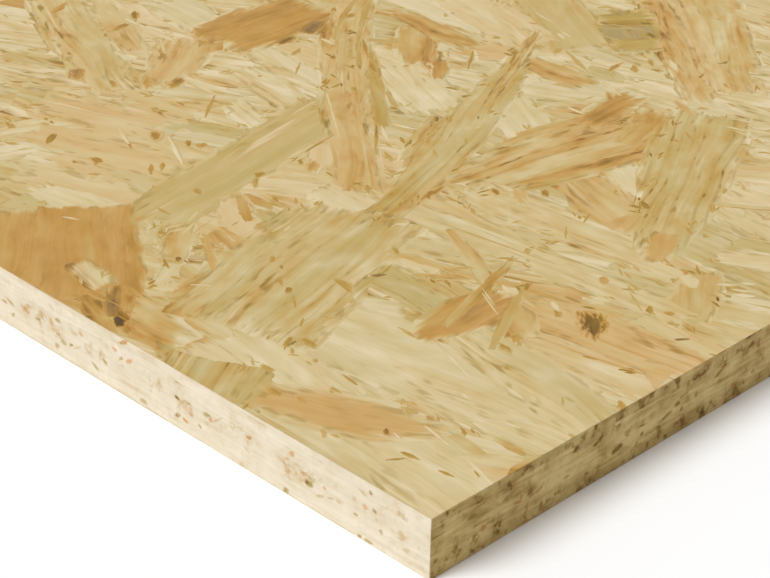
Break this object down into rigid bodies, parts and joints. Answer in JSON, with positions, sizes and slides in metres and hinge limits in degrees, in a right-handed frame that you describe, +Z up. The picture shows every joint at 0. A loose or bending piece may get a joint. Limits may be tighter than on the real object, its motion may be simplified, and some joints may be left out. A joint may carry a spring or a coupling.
{
  "type": "oriented strand board panel",
  "caption": "Flat rectangular sheet of oriented strand board with square-sawn, slightly eased edges, for sheathing, flooring and boxing out.",
  "frame": {"origin": "middle of the underside of the sheet", "axes": "+X along the sheet, the way the face strands run, +Y across it, +Z up through the thickness"},
  "size_m": [2.44, 1.22, 0.018],
  "materials": {
    "osb": "pressed wood strands, unsanded and matt"
  },
  "bodies": {
    "root": {"osb_panel": "osb"}
  },
  "joints": []
}
